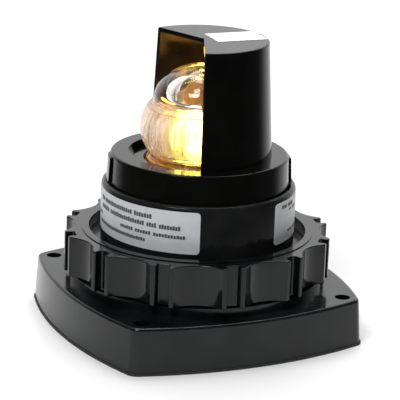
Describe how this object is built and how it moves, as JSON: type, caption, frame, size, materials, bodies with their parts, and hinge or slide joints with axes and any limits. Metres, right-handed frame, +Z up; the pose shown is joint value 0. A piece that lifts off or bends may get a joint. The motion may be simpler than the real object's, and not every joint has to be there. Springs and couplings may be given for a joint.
{
  "type": "shaded amber lantern",
  "caption": "Black shaded lantern: clear domed lens inside a part-cylinder shade, scalloped clamp ring, square bowed base with corner bolt holes.",
  "frame": {"origin": "middle of the base gasket's underside, on the lantern's axis", "axes": "+Z up along the lantern's axis; -Y towards the window in the shade; the base's straight-ish sides face +-X and +-Y"},
  "size_m": [0.1748, 0.1748, 0.1761],
  "materials": {
    "satin_black": "satin moulded plastic",
    "gloss_black": "glossy moulded plastic",
    "rubber": "matte",
    "nylon": "satin",
    "clear_lens": "clear, polished",
    "amber_glass": "amber, polished",
    "filament": "glowing",
    "brass": "satin",
    "spring_steel": "satin",
    "steel": "plated",
    "board": "matte laminate",
    "switch_black": "matte",
    "switch_white": "gloss",
    "cell_jacket": "gloss jacket",
    "lead_black": "gloss sleeve",
    "lead_red": "gloss sleeve",
    "label_white": "paper label"
  },
  "bodies": {
    "base": {"base_gasket": "rubber", "mounting_base": "satin_black"},
    "washer": {"slip_washer": "nylon"},
    "ring": {"clamp_ring": "gloss_black"},
    "hood": {"hood": "gloss_black", "label_top": "label_white"},
    "lamp": {"lamp_glass": "amber_glass", "lamp_cap": "brass", "lamp_filament": "filament"},
    "plunger": {"contact_plunger": "brass"},
    "slider": {"switch_slider": "switch_white"},
    "lamp_head": {"battery_board": "board", "battery_cell_1": "cell_jacket", "battery_cell_2": "cell_jacket", "battery_cell_3": "cell_jacket", "battery_cell_4": "cell_jacket", "battery_tray": "board", "body_seal": "rubber", "bottom_contacts": "brass", "cell_springs": "spring_steel", "contact_spring": "spring_steel", "holder_nuts": "steel", "holder_rods": "steel", "hood_seal": "rubber", "label_main": "label_white", "label_side": "label_white", "lamp_body": "gloss_black", "lamp_plate": "board", "lamp_socket": "brass", "lead_negative": "lead_black", "lead_positive": "lead_red", "lead_to_plunger": "lead_red", "lens": "clear_lens", "lens_gasket": "rubber", "plate_screws": "steel", "reflector": "steel", "switch_body": "switch_black", "top_contacts": "brass"}
  },
  "joints": [
    {"name": "ring_rise", "type": "slide", "parent": "base", "child": "washer", "axis": [0, 0, 1], "range_m": [0, 0.0081]},
    {"name": "ring_turn", "type": "hinge", "parent": "washer", "child": "ring", "pos_m": [0, 0, 0.047], "axis": [0, 0, 1], "range_deg": [0, 480]},
    {"name": "head_turn", "type": "hinge", "parent": "base", "child": "lamp_head", "pos_m": [0, 0, 0.049], "axis": [0, 0, 1], "continuous": true},
    {"name": "hood_turn", "type": "hinge", "parent": "lamp_head", "child": "hood", "pos_m": [0, 0, 0.088], "axis": [0, 0, 1], "range_deg": [0, 50]},
    {"name": "lamp_push", "type": "slide", "parent": "lamp_head", "child": "lamp", "axis": [0, 0, -1], "range_m": [0, 0.0024], "stiffness_N_per_m": 800, "springref_m": -0.002},
    {"name": "plunger_slide", "type": "slide", "parent": "lamp_head", "child": "plunger", "axis": [0, 0, -1], "range_m": [0, 0.00241], "deforming": ["contact_spring"]},
    {"name": "switch_slide", "type": "slide", "parent": "lamp_head", "child": "slider", "axis": [-1, 0, 0], "range_m": [0, 0.004]}
  ],
  "couplings": [
    {"joint": "ring_rise", "follows": "ring_turn", "m_per_rad": 0.00095493},
    {"joint": "plunger_slide", "follows": "lamp_push", "ratio": 1}
  ]
}
